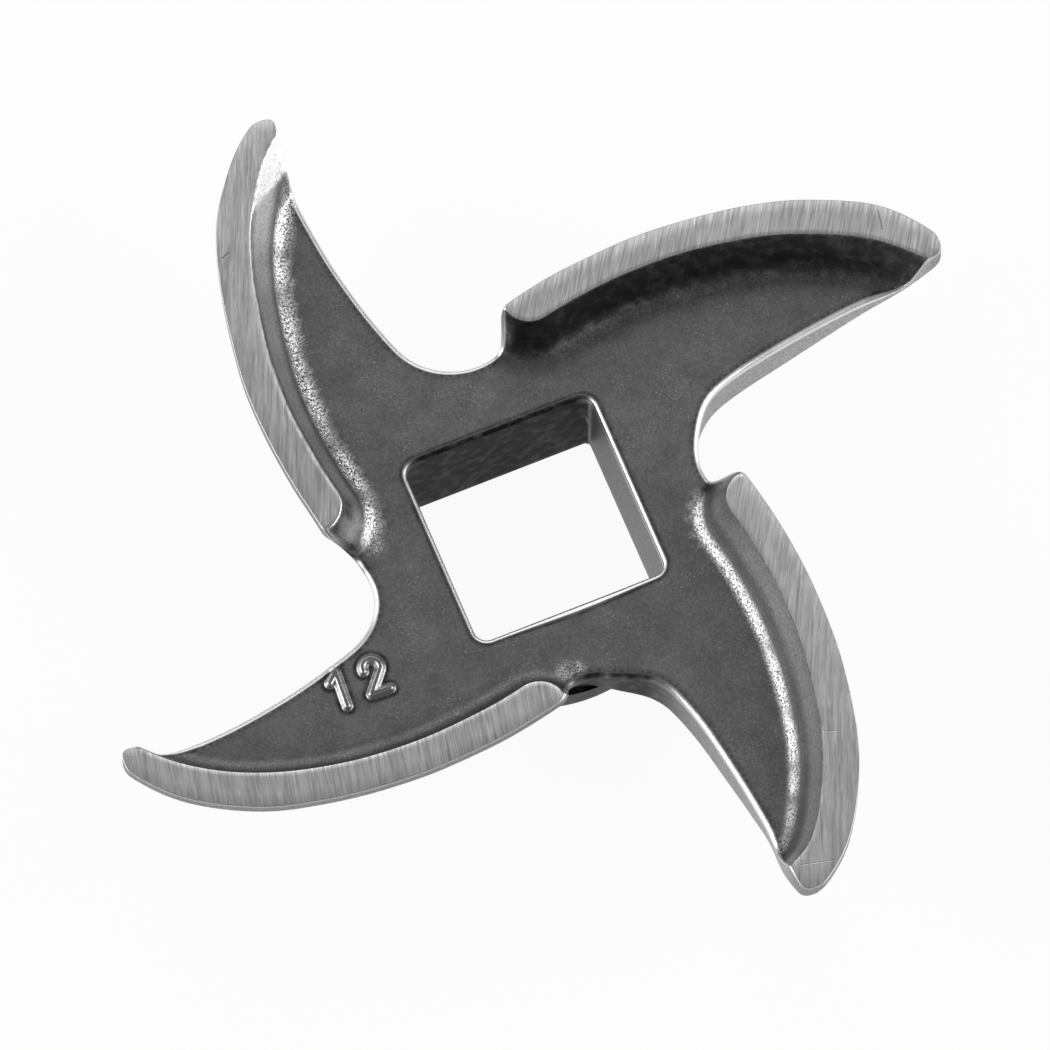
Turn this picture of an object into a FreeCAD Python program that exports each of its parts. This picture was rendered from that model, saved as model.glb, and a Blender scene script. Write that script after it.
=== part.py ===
"""Meat grinder knife: a four-armed sickle knife with a square drive hole.

One solid of cast steel. The frame stands at the centre of the hub's back face: +Z runs along
the drive hole towards the ground cutting lands, X and Y lie parallel to the sides of the hole.

How the form comes about:
- the web is sunk into the top of a disc, which leaves a rib with a flat land along each arm
- four bays are cut between the arms, with a leading wall that falls away under its lip
- the back is turned: the hub boss, the underside that rises to the tips, and the span
- the square drive hole goes through the hub

Every outline is drawn for the arm whose tip lies just above +X, and turned in quarters.
"""
import FreeCAD, Part
import Sketcher
import math
import os

Vector = FreeCAD.Vector
ARMS = 4
CLOSE = 1e-4

# Driving dimensions: alias, value in millimetres or degrees, meaning
SIZES = [
    ("span", 60.4, "diameter over the four tips"),
    ("land_height", 11.8, "back face to the ground lands"),
    ("web_height", 8.6, "back face to the sunk web"),
    ("hole_side", 12.4, "square drive hole across its flats"),
    ("hole_corner", 0.8, "radius in the corners of the hole"),
    ("hole_edge", 0.35, "chamfer at the two mouths of the hole"),
    ("boss_back_radius", 9.4, "hub boss at the back face"),
    ("boss_arm_radius", 10.0, "hub boss where it meets the arms"),
    ("boss_edge", 0.4, "chamfer round the back face"),
    ("underside_height", 4.9, "back face to the flat part of the underside"),
    ("underside_flat", 15.5, "radius at which the underside starts to rise"),
    ("underside_bow", 22.0, "radius of the rising underside"),
    ("flank_slope", 18.0, "draft of the rib on its web side"),
    ("flank_foot", 1.2, "fillet at the foot of the rib"),
    ("web_edge", 0.3, "rounding along the trailing edge and the notch"),
    ("lip_height", 0.9, "upright lip below the leading edge"),
    ("relief_slope", 24.0, "slope of the leading wall below its lip"),
    ("relief_root", 2.6, "relief of the leading wall beside the notch"),
    ("relief_height", 4.7, "back face to the plane in which the relief is drawn"),
    ("tip_round", 0.7, "rounding of the tip on its trailing side"),
    ("overrun", 2.0, "how far the cutting outlines pass the rim"),
    ("notch_x", 14.8, "centre of the notch"),
    ("notch_y", -0.05, "centre of the notch"),
    ("notch_radius", 3.8, "radius of the notch"),
    ("notch_start", 108.6, "direction from the notch's centre to the trailing edge"),
    ("notch_end", 232.7, "direction from the notch's centre to the next arm"),
    ("heel_x", 29.5, "trailing edge beside the tip"),
    ("heel_y", 5.5, "trailing edge beside the tip"),
    ("lead_x", 20.5, "leading edge, where it starts to bend more tightly"),
    ("lead_y", 12.66, "leading edge, where it starts to bend more tightly"),
    ("lead_slope", -13.0, "leading edge, its slope there"),
    ("toe_x", 29.6, "tip, corner on the leading side"),
    ("toe_y", 6.5, "tip, corner on the leading side"),
    ("land_x", 19.0, "inner border of the land, where it starts to bend more tightly"),
    ("land_y", 10.85, "inner border of the land, where it starts to bend more tightly"),
    ("land_slope", -12.5, "inner border of the land, its slope there"),
    ("land_tip_x", 28.0, "inner border of the land beside the tip"),
    ("land_tip_y", 5.9, "inner border of the land beside the tip"),
    ("land_root_x", 5.2, "inner border of the land, where its rounded end starts"),
    ("land_root_y", 10.84, "inner border of the land, where its rounded end starts"),
    ("land_end_x", 3.1, "rounded end of the land, outermost point"),
    ("land_end_y", 12.35, "rounded end of the land, outermost point"),
    ("bay_turn", 3.2, "turn of the web outline in a bay, from one land to the next"),
]

doc = FreeCAD.newDocument("meat_grinder_knife")
sheet = doc.addObject("Spreadsheet::Sheet", "sizes")
for row, (alias, value, meaning) in enumerate(SIZES, start=1):
    sheet.set(f"A{row}", alias)
    sheet.set(f"B{row}", str(value))
    sheet.set(f"C{row}", meaning)
    sheet.setAlias(f"B{row}", alias)
doc.recompute()


def size(alias):
    return float(sheet.get(alias))


def place(x_alias, y_alias):
    return Vector(size(x_alias), size(y_alias), 0)


# Plane geometry. A stretch of an outline is a list of points: two for a straight line,
# three for an arc through the middle one.

def polar_point(centre, radius, degrees):
    angle = math.radians(degrees)
    return centre + Vector(math.cos(angle), math.sin(angle), 0) * radius


def polar_angle(vector):
    return math.degrees(math.atan2(vector.y, vector.x)) % 360


def arc_points(centre, radius, first, last):
    return [polar_point(centre, radius, a) for a in (first, (first + last) / 2, last)]


def turned(vector, degrees):
    return FreeCAD.Rotation(Vector(0, 0, 1), degrees).multVec(vector)


def next_arm(stretches):
    """The same stretches on the following arm, a quarter turn clockwise."""
    return [[turned(p, -360 / ARMS) for p in stretch] for stretch in stretches]


class Bow:
    """An arc that touches a sloping line at one point and passes through another point."""

    def __init__(self, touch, slope, through):
        normal = turned(Vector(1, 0, 0), slope + 90)
        chord = through - touch
        reach = chord.dot(chord) / (2 * chord.dot(normal))
        self.centre = touch + normal * reach
        self.radius = abs(reach)
        self.touch = polar_angle(touch - self.centre)
        self.through = polar_angle(through - self.centre)

    def crossing(self, rim, inset=0.0):
        """Direction from its centre to where it, inset, crosses a circle round the origin."""
        gap = self.centre.Length
        radius = self.radius - inset
        cosine = (rim ** 2 - gap ** 2 - radius ** 2) / (2 * gap * radius)
        return (polar_angle(self.centre) + math.degrees(math.acos(cosine))) % 360

    def stretch(self, first, last, inset=0.0):
        """Its part between two directions, drawn with a radius smaller by inset."""
        return arc_points(self.centre, self.radius - inset, first, last)


def cutting_rim():
    return size("span") / 2 + size("overrun")


# Outlines

def root_corner(relief):
    """Corner between the notch and the next arm's leading edge."""
    corner = polar_point(place("notch_x", "notch_y"), size("notch_radius"), size("notch_end"))
    return corner - Vector(size("relief_root") if relief else 0, 0, 0)


def trailing_side(corner):
    """From past the rim to the rounded tip, the trailing edge and the notch to the root corner."""
    start = polar_point(place("notch_x", "notch_y"), size("notch_radius"), size("notch_start"))
    slope = size("notch_start") - 90
    edge = Bow(start, slope, place("heel_x", "heel_y"))
    notch = Bow(start, slope, corner)
    rounding = size("tip_round")
    meets = edge.crossing(size("span") / 2 - rounding, -rounding)
    tip_centre = polar_point(edge.centre, edge.radius + rounding, meets)
    outward = polar_angle(tip_centre)
    tip = arc_points(tip_centre, rounding, outward, meets - 180)
    return [[polar_point(Vector(), cutting_rim(), outward), tip[0]],
            tip,
            edge.stretch(meets, edge.touch),
            notch.stretch(notch.touch, notch.through)]


def leading_side(corner, relief):
    """Leading edge of an arm from its root corner to past the rim, moved in by the relief."""
    slope = size("lead_slope")
    tip = Bow(place("lead_x", "lead_y"), slope, place("toe_x", "toe_y"))
    bend = polar_point(tip.centre, tip.radius - relief, tip.touch)
    root = Bow(bend, slope, corner)
    return [root.stretch(root.through, root.touch),
            tip.stretch(tip.touch, tip.crossing(cutting_rim()), relief)]


def bay_outline(relief):
    """The bay between an arm and the next one, closed outside the rim."""
    corner = root_corner(relief)
    own_corner = turned(corner, 360 / ARMS)
    sides = trailing_side(corner) + next_arm(leading_side(own_corner, relief))
    first, last = sides[0][0], sides[-1][-1]
    outside = (first + last).normalize() * (cutting_rim() + size("overrun"))
    return sides + [[last, outside, first]]


def land_border(inset):
    """Inner border of a land and the turn in the bay that leads to the next land.

    It is closed to a smooth loop by the same stretches on the other arms. With an inset
    it is drawn further on the web, which lies on the outside of the rounded end only.
    """
    bend = place("land_x", "land_y")
    root = place("land_root_x", "land_root_y")
    slope = size("land_slope")
    long_bow = Bow(bend, slope, root)
    tip_bow = Bow(bend, slope, place("land_tip_x", "land_tip_y"))
    end_bow = Bow(root, long_bow.through - 90, place("land_end_x", "land_end_y"))
    side = end_bow.centre.x - end_bow.radius
    turn = size("bay_turn")
    height = turn - side - tip_bow.centre.y
    run = math.sqrt((tip_bow.radius - turn) ** 2 - height ** 2)
    turn_centre = tip_bow.centre + Vector(run, height, 0)
    leaves = polar_angle(turn_centre - tip_bow.centre)
    rounded_end = end_bow.stretch(180, end_bow.touch, -inset)
    return [[Vector(side - inset, turn_centre.x, 0), rounded_end[0]],
            rounded_end,
            long_bow.stretch(long_bow.through, long_bow.touch, inset),
            tip_bow.stretch(tip_bow.touch, leaves, inset),
            arc_points(turn_centre, turn - inset, leaves, -90)]


def web_outline(inset):
    """The sunk web of hub and arms, bounded by the four land borders."""
    outline = []
    border = land_border(inset)
    for _ in range(ARMS):
        outline += border
        border = next_arm(border)
    return outline


def hole_outline():
    """A square with rounded corners."""
    half = size("hole_side") / 2
    corner = size("hole_corner")
    centre = Vector(half - corner, half - corner, 0)
    rounding = [polar_point(centre, corner, a) for a in (90, 45, 0)]
    outline = []
    for _ in range(4):
        following = [turned(p, -90) for p in rounding]
        outline += [rounding, [rounding[-1], following[0]]]
        rounding = following
    return outline


# Sketches and features

body = doc.addObject("PartDesign::Body", "knife")
body.Label = "knife"


def origin_feature(role):
    return next(f for f in body.Origin.OriginFeatures if f.Role == role)


def add_sketch(name, plane_role):
    sketch = body.newObject("Sketcher::SketchObject", name)
    sketch.AttachmentSupport = [(origin_feature(plane_role), "")]
    sketch.MapMode = "FlatFace"
    return sketch


def draw(sketch, outline, smooth=()):
    """Add a closed outline with its ends tied together, tangent after the smooth stretches."""
    for stretch in outline:
        curve = Part.LineSegment(*stretch) if len(stretch) == 2 else Part.Arc(*stretch)
        sketch.addGeometry(curve, False)
    for i, stretch in enumerate(outline):
        following = (i + 1) % len(outline)
        ends = [curve_end(sketch, i, stretch[-1]), curve_end(sketch, following, stretch[-1])]
        joint = "Tangent" if i in smooth else "Coincident"
        sketch.addConstraint(Sketcher.Constraint(joint, i, ends[0], following, ends[1]))


def curve_end(sketch, index, at):
    """1 for the start of a sketched curve and 2 for its end, whichever lies at the point."""
    start = sketch.getPoint(index, 1)
    end = sketch.getPoint(index, 2)
    return 1 if (start - at).Length < (end - at).Length else 2


def level_sketch(name, outline, height):
    """An outline in a level plane whose height is a formula of the sheet."""
    sketch = add_sketch(name, "XY_Plane")
    sketch.setExpression(".AttachmentOffset.Base.z", height)
    draw(sketch, outline)
    return sketch


def cut_loft(name, sketches):
    loft = body.newObject("PartDesign::SubtractiveLoft", name)
    loft.Profile = (sketches[0], [""])
    loft.Sections = [(sketch, [""]) for sketch in sketches[1:]]
    loft.Ruled = True
    for sketch in sketches:
        sketch.Visibility = False
    doc.recompute()
    return loft


def edge_names(feature, wanted):
    return [f"Edge{i}" for i, edge in enumerate(feature.Shape.Edges, start=1) if wanted(edge)]


def dress(kind, name, base, wanted, prop, alias):
    """A fillet or chamfer on the edges of its base that are wanted."""
    feature = body.newObject(f"PartDesign::{kind}", name)
    feature.Base = (base, edge_names(base, wanted))
    feature.setExpression(prop, f"sizes.{alias}")
    doc.recompute()
    return feature


def level_at(edge, height):
    """True for an edge that lies in the level plane at the height."""
    box = edge.BoundBox
    return abs(box.ZMin - height) < CLOSE and abs(box.ZMax - height) < CLOSE


def stock():
    """A plain disc, from the back face to the lands, wider than the finished knife."""
    radius = cutting_rim() + 2 * size("overrun")
    sketch = add_sketch("stock_circle", "XY_Plane")
    sketch.addGeometry(Part.Circle(Vector(0, 0, 0), Vector(0, 0, 1), radius), False)
    sketch.addConstraint(Sketcher.Constraint("Coincident", 0, 3, -1, 1))
    index = sketch.addConstraint(Sketcher.Constraint("Radius", 0, radius))
    sketch.renameConstraint(index, "stock_radius")
    sketch.setExpression("Constraints.stock_radius", "sizes.span / 2 + 3 * sizes.overrun")
    disc = body.newObject("PartDesign::Pad", "stock")
    disc.Profile = sketch
    disc.setExpression("Length", "sizes.land_height")
    sketch.Visibility = False
    doc.recompute()


def turning_profile():
    """What the lathe takes off: round the boss, below the arms and outside the tips."""
    rim = size("span") / 2
    bow = size("underside_bow")
    flat = Vector(size("underside_flat"), size("underside_height"), 0)
    run = rim - flat.x
    rise = bow - math.sqrt(bow ** 2 - run ** 2)
    outside = cutting_rim() + 3 * size("overrun")
    above = size("land_height") + size("overrun")
    corners = [Vector(size("boss_back_radius"), 0, 0),
               Vector(size("boss_arm_radius"), flat.y, 0), flat,
               Vector(rim, flat.y + rise, 0), Vector(rim, above, 0),
               Vector(outside, above, 0), Vector(outside, -size("overrun"), 0),
               Vector(size("boss_back_radius"), -size("overrun"), 0)]
    half_turn = math.asin(run / bow) / 2
    bow_middle = flat + Vector(math.sin(half_turn), 1 - math.cos(half_turn), 0) * bow
    stretches = [[a, b] for a, b in zip(corners, corners[1:] + corners[:1])]
    stretches[2] = [corners[2], bow_middle, corners[3]]
    boss, under, rising, rim_line, top, side, bottom, start = range(len(stretches))
    sketch = add_sketch("turning_profile", "XZ_Plane")
    draw(sketch, stretches, smooth=(under,))
    for line in (under, top, bottom):
        sketch.addConstraint(Sketcher.Constraint("Horizontal", line))
    for line in (rim_line, side, start):
        sketch.addConstraint(Sketcher.Constraint("Vertical", line))
    tied = [("DistanceX", boss, 1, "boss_back_radius", "sizes.boss_back_radius"),
            ("DistanceX", boss, 2, "boss_arm_radius", "sizes.boss_arm_radius"),
            ("DistanceY", boss, 2, "underside_height", "sizes.underside_height"),
            ("DistanceX", under, 2, "underside_flat", "sizes.underside_flat"),
            ("DistanceX", rim_line, 2, "rim_radius", "sizes.span / 2")]
    for kind, line, end, name, formula in tied:
        at = sketch.getPoint(line, end)
        value = at.x if kind == "DistanceX" else at.y
        index = sketch.addConstraint(Sketcher.Constraint(kind, -1, 1, line, end, value))
        sketch.renameConstraint(index, name)
        sketch.setExpression(f"Constraints.{name}", formula)
    index = sketch.addConstraint(Sketcher.Constraint("Radius", rising, bow))
    sketch.renameConstraint(index, "underside_bow")
    sketch.setExpression("Constraints.underside_bow", "sizes.underside_bow")
    return sketch


def turned_back():
    """The boss, the underside that rises towards the tips, and the tips turned to the span."""
    sketch = turning_profile()
    groove = body.newObject("PartDesign::Groove", "turned_back")
    groove.Profile = sketch
    groove.ReferenceAxis = (sketch, ["V_Axis"])
    groove.Angle = 360
    sketch.Visibility = False
    doc.recompute()
    return groove


def sunk_web():
    """The web, with the drafted flanks of the four ribs and the fillet at their foot."""
    rib_height = size("land_height") - size("web_height")
    draft = rib_height * math.tan(math.radians(size("flank_slope")))
    web = cut_loft("sunk_web", [
        level_sketch("land_borders", web_outline(0), "sizes.land_height"),
        level_sketch("web_floor", web_outline(draft), "sizes.web_height")])

    def foot(edge):
        return level_at(edge, size("web_height"))

    return dress("Fillet", "flank_feet", web, foot, "Radius", "flank_foot")


def bays():
    """Four bays. The leading wall is upright along its lip and leans in below it."""
    lip = size("land_height") - size("lip_height")
    relief = (lip - size("relief_height")) * math.tan(math.radians(size("relief_slope")))
    bay = cut_loft("bay", [
        level_sketch("bay_top", bay_outline(0), "sizes.land_height"),
        level_sketch("bay_lip", bay_outline(0), "sizes.land_height - sizes.lip_height"),
        level_sketch("bay_relief", bay_outline(relief), "sizes.relief_height")])
    pattern = body.newObject("PartDesign::PolarPattern", "bays")
    pattern.Originals = [bay]
    pattern.Axis = (origin_feature("Z_Axis"), [""])
    pattern.Angle = 360
    pattern.Occurrences = ARMS
    body.Tip = pattern
    doc.recompute()
    return pattern


def drive_hole():
    sketch = level_sketch("hole_profile", hole_outline(), "0 mm")
    hole = body.newObject("PartDesign::Pocket", "drive_hole")
    hole.Profile = sketch
    hole.Reversed = True
    hole.setExpression("Length", "sizes.land_height")
    sketch.Visibility = False
    doc.recompute()
    return hole


def rounded_web(base):
    """The top edge of the web along the trailing edges and the notches."""
    def web_rim(edge):
        return level_at(edge, size("web_height"))

    return dress("Fillet", "web_edges", base, web_rim, "Radius", "web_edge")


def chamfered_mouths(base):
    """The two mouths of the drive hole."""
    reach = size("hole_side") / 2 + CLOSE

    def mouth(edge):
        box = edge.BoundBox
        level = level_at(edge, 0) or level_at(edge, size("web_height"))
        return level and max(abs(box.XMin), box.XMax, abs(box.YMin), box.YMax) < reach

    return dress("Chamfer", "hole_mouths", base, mouth, "Size", "hole_edge")


def chamfered_back(base):
    """The outer edge of the back face."""
    def back_rim(edge):
        return level_at(edge, 0) and edge.BoundBox.XMax > size("boss_back_radius") - CLOSE

    return dress("Chamfer", "back_edge", base, back_rim, "Size", "boss_edge")


stock()
sunk_web()
bays()
knife = turned_back()
knife = rounded_web(knife)
knife = drive_hole()
knife = chamfered_mouths(knife)
chamfered_back(knife)
doc.recompute()

for item in doc.Objects:
    if "Invalid" in item.State or "Error" in item.State:
        raise RuntimeError(f"{item.Label} failed: {item.State}")
if body.Shape.isNull() or not body.Shape.isValid() or len(body.Shape.Solids) != 1:
    raise RuntimeError("the knife is not one valid solid")

os.makedirs("parts", exist_ok=True)
body.Shape.exportStep("parts/knife.step")
print("volume in cubic centimetres:", round(body.Shape.Volume / 1000, 2))
print("bounding box:", body.Shape.optimalBoundingBox())
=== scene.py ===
"""The looks of the meat grinder knife: its cast skin, ground lands and raised size number."""
import bpy
import bmesh
import math
import numpy as np
from mathutils import Matrix, Vector, noise
from mathutils.geometry import delaunay_2d_cdt


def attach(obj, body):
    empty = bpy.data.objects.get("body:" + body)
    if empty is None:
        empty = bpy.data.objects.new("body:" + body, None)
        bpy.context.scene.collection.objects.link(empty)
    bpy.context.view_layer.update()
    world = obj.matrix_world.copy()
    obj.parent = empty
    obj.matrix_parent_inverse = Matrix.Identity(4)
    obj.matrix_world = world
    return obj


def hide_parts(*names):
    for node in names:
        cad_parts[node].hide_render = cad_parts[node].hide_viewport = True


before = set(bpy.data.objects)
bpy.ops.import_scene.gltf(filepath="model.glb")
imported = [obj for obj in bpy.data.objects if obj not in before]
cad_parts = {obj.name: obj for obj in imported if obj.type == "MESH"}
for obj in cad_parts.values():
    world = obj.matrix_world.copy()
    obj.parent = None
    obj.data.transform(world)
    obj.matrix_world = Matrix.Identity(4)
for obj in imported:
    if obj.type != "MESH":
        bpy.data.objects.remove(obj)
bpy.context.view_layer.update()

MM = 0.001
# How far the knife in the photo is turned
ROLL = math.radians(22.45)

# The form of the knife, in millimetres and degrees. Points of the plan are complex numbers,
# drawn for the arm whose tip lies just above +X.
ARMS = 4
ARM_SPLIT = 83
RIM = 30.2
OUTSIDE = 32.2
CORNER = RIM + RIM * 1j
LAND = 11.8
LIP = 10.9
WEB = 8.6
RELIEF_PLANE = 4.7
RELIEF_ANGLE = 24.0
RELIEF = (LIP - RELIEF_PLANE) * math.tan(math.radians(RELIEF_ANGLE))
RELIEF_ROOT = 2.6
# The square hole, and the wear of its near side: place, reach and depth
HOLE_HALF = 6.2
HOLE_CORNER = 0.8
HOLE_BACK_CORNER = 0.35
HOLE_CORNER_HEIGHT = WEB - 1.5
HOLE_EDGE = 0.26
NEAR_WEAR = (0.6, 3.4, 0.16)
# The boss, and the underside of the arms, which rises to the tips
BOSS_ARM_RADIUS = 10.0
BOSS_BACK_RADIUS = 9.4
BOSS_EDGE = 0.4
BOSS_FOOT = 0.35
BOSS_FOOT_RADIUS = BOSS_ARM_RADIUS + BOSS_FOOT
UNDERSIDE = 4.9
UNDERSIDE_FLAT = 15.5
UNDERSIDE_BOW = 22.0
# The flank of a land and the round at its foot
FLANK_ANGLE = 18.0
DRAFT = math.tan(math.radians(FLANK_ANGLE))
FOOT_RADIUS = 1.2
FOOT_END = (LAND - WEB) * DRAFT + FOOT_RADIUS * math.tan(math.radians((90 - FLANK_ANGLE) / 2))
FOOT_START = FOOT_END - FOOT_RADIUS * math.cos(math.radians(FLANK_ANGLE))
# The tip, which stays inside the box of the CAD part
TIP_ROUND = 0.7
BOX_LIMIT = 29.52
BOX_EASE = 0.12
# The notch at the root of an arm, its trailing edge and its leading edge
NOTCH = 14.8 - 0.05j
NOTCH_RADIUS = 3.8
NOTCH_START = 108.6
NOTCH_END = 232.7
HEEL = 29.5 + 5.5j
LEAD = 20.5 + 12.66j
LEAD_SLOPE = -13.0
TOE = 29.6 + 6.5j
# The border between a land and the web, and its turn in the bay
BORDER = 19.0 + 10.85j
BORDER_SLOPE = -12.5
BORDER_TIP = 28.0 + 5.9j
BORDER_ROOT = 5.2 + 10.84j
BORDER_END = 3.1 + 12.35j
BAY_TURN = 3.2
# The raised figures: half the width of a stroke, the slope of its side, and its height
NUMBER_HALF = 0.36
NUMBER_SIDE = 0.27
NUMBER_HEIGHT = 0.27
# Rounding of the edges, and how much of the wall it may take up
WEB_ROUND = 0.36
LAND_ROUND = 0.06
ROUND_SHARE = 0.45
UNDER_ROUND = 0.14
UNDER_SHARE = 0.25
TIP_EDGE = 0.12
TIP_EDGE_FROM = 27.3
TIP_EDGE_GROWTH = 0.1

# Finish: share of bright metal on each part, and the reflectance of each kind of skin
FOOT_FROM = 0.87
WALL_BARE = 0.62
LIP_BARE = 0.3
BOSS_BARE = 0.1
BACK_BARE = 0.8
FACET_BARE = 0.75
WEB_RIM = 1.0
LAND_RIM = 0.4
UNDER_RIM = 0.7
# Bare metal, painted shade and polish of the rim on the four sides of the hole: far, left, near,
# right. The far wall, which no lamp lights, carries painted shade, the left and near walls less,
# and the right wall, lit by the left lamp, painted light as bright metal.
HOLE_SHADE_AND_FINISH = ((0.0, 1.0, 0.0), (0.0, 0.3, 1.0), (0.0, 0.3, 1.0), (0.45, 0.0, 1.0))
# Dark lines along the edges, and painted shade round the figures and in the crease past the border:
# place, width and share
EDGE_LINE = (0.12, 0.09, 0.85)
FIGURE_SHADE = (NUMBER_HALF + 0.1, 0.13, 0.95)
CREASE_SHADE = (0.1, 0.12, 0.7)
DARK_STEEL = 0.17
BRIGHT_STEEL = 0.66
RIM_STEEL = 0.95
GROUND_STEEL = 0.6

# Fineness of the mesh: distances in millimetres, and the angle from which an edge is sharp
WELD = 0.0005
SHORTEST = 0.004
SHARP = 38
BORDER_STEP = 0.1
STROKE_STEP = 0.03
GRID = 0.42
GRID_GAP = 0.55
UNDER_GRID = 0.8
BACK_GRID = 0.6
NUMBER_GRID = 0.05
NUMBER_GAP = 0.06
NUMBER_WINDOW = (-16.4 - 7.7j, -11.5 - 3.9j)
RING_WINDOW = (-16.8 - 8.1j, -11.1 - 3.5j)
RIM_ROWS = (0.1, 0.22, 0.36)
ROW_ERROR = 0.03
ROW_GAP = 0.1
# Rows along the land border: distance past it, and the step from one of its points to the next
CLOSE_ROWS = (-0.07, 0.07, 0.17, 0.3, 0.44, 0.58, 0.7, 0.8, 0.9, 1.0, 1.1, 1.2, 1.3, 1.42, 1.54,
              1.68, 1.82)
FLANK_ROWS = ((-0.3, 4), *((past, 2) for past in CLOSE_ROWS), (1.98, 3), (2.2, 4))
ROWS_END = 2.45
# Numbers of points along the parts of the outline and the border, and round the boss
LEVELS = 63
LEAD_COLUMNS = 116
LEAD_POINTS = (180, 120)
NOTCH_POINTS = 38
RIM_FIRST = 13.6
RIM_POINTS = 5
ROUND_POINTS = 9
TRAILING_POINTS = 66
BORDER_POINTS = (90, 60, 160, 120, 60)
HOLE_POINTS = 60
BOSS_POINTS = 220


def polar(centre, radius, degrees):
    return centre + radius * np.exp(1j * np.radians(degrees))


def heading(vector):
    return math.degrees(math.atan2(vector.imag, vector.real)) % 360


class Bow:
    """An arc that touches a sloping line at one point and passes through another point."""

    def __init__(self, touch, slope, through):
        normal = complex(polar(0, 1, slope + 90))
        chord = through - touch
        reach = abs(chord) ** 2 / (2 * (chord * normal.conjugate()).real)
        self.centre = touch + normal * reach
        self.radius = abs(reach)
        self.touch = heading(touch - self.centre)
        self.through = heading(through - self.centre)

    def crossing(self, rim, inset=0.0):
        gap = abs(self.centre)
        radius = self.radius - inset
        cosine = (rim ** 2 - gap ** 2 - radius ** 2) / (2 * gap * radius)
        return (heading(self.centre) + math.degrees(math.acos(cosine))) % 360

    def points(self, first, last, count, inset=0.0):
        return polar(self.centre, self.radius - inset, np.linspace(first, last, count))


def bump_at(values, centre, spread):
    """A smooth rise to one around a centre value."""
    return np.exp(-((values - centre) / spread) ** 2)


def rise(values, start, width):
    """Zero up to a start, then a straight rise to one over a width."""
    return np.clip((values - start) / width, 0, 1)


def fall(values, end, width):
    """One, then a straight fall to zero over the width before an end."""
    return np.clip((end - values) / width, 0, 1)


def rounding(degrees):
    """How far back and how far down a round edge of radius one is, at an angle."""
    return 1 - math.sin(math.radians(degrees)), 1 - math.cos(math.radians(degrees))


def smooth_loop(values, passes):
    """A closed row of values or points with its corners eased."""
    for _ in range(passes):
        values = (np.roll(values, 1) + 2 * values + np.roll(values, -1)) / 4
    return values


def evenly(curve, count):
    """The curve with its points moved to equal distances along it."""
    run = np.concatenate([[0], np.cumsum(np.abs(np.diff(curve)))])
    at = np.linspace(0, run[-1], count)
    return np.interp(at, run, curve.real) + 1j * np.interp(at, run, curve.imag)


def up_to(curve, line):
    """The curve up to where it first crosses a line, and the place on the line where it does."""
    for i in range(len(curve) // 2, len(curve) - 1):
        a, b = curve[i], curve[i + 1]
        side = ((line - a) * np.conj(b - a)).imag
        for j in np.nonzero(side[:-1] * side[1:] <= 0)[0]:
            share = side[j] / (side[j] - side[j + 1])
            meets = line[j] + (line[j + 1] - line[j]) * share
            along = ((meets - a) * np.conj(b - a)).real / abs(b - a) ** 2
            if 0 <= along <= 1:
                return np.append(curve[:i + 1], meets), j + share
    raise ValueError("the leading edge never meets the tip")


def turn(curve, arm):
    """The same curve on a later arm, clockwise."""
    return curve * (-1j) ** arm


# Irregularities of this casting: arm, place, push and reach, in millimetres
CAST_PUSHES = (
    (0, 27.6 + 9.3j, 0.18 + 0.26j, 3.2), (1, 28.0 + 8.9j, 0.15 + 0.2j, 2.8),
    (2, 27.4 + 9.5j, 0.04 + 0.08j, 2.5), (3, 20.0 + 12.9j, -0.06 - 0.24j, 4.5),
    (2, 28.9 + 4.8j, 0.12 - 0.24j, 1.7), (3, 29.0 + 4.7j, 0.14 - 0.3j, 1.7),
    (3, 27.0 + 10.6j, -0.06 - 0.1j, 2.2), (0, 11.5 + 1.5j, 0.38 - 0.15j, 2.4),
    (2, 11.0 - 1.4j, 0.38 + 0.12j, 2.2), (1, 11.6 + 2.2j, 0.28 - 0.1j, 2.4),
    (0, 20.5 + 5.2j, -0.36j, 5.0), (0, 26.8 + 5.4j, 0.05 - 0.42j, 2.6),
    (1, 20.5 + 5.2j, -0.24j, 5.5), (1, 27.0 + 5.5j, -0.4j, 2.2), (1, 11.0 + 0.8j, 0.42, 1.7))
# Faint waviness of the whole outline: its height and its length
WAVE = 0.045
WAVE_LENGTH = 3.6
# Bend of the border at the tip of the second arm: place, push and reach
TIP_BEND = (turn(28.0 + 5.9j, 1), turn(-0.1 - 0.6j, 1), 1.0)


def as_cast(points):
    """Plan points moved by the pushes of the casting and by a faint waviness."""
    moved = points.copy()
    for arm, place, push, reach in CAST_PUSHES:
        share = np.exp(-(np.abs(points - turn(place, arm)) / reach) ** 2)
        moved += turn(push, arm) * share
    spots = points.ravel() / WAVE_LENGTH
    wave = [complex(noise.noise((p.real, p.imag, 0.0)), noise.noise((p.real, p.imag, 7.0)))
            for p in spots]
    return moved + WAVE * np.array(wave).reshape(points.shape)


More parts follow.
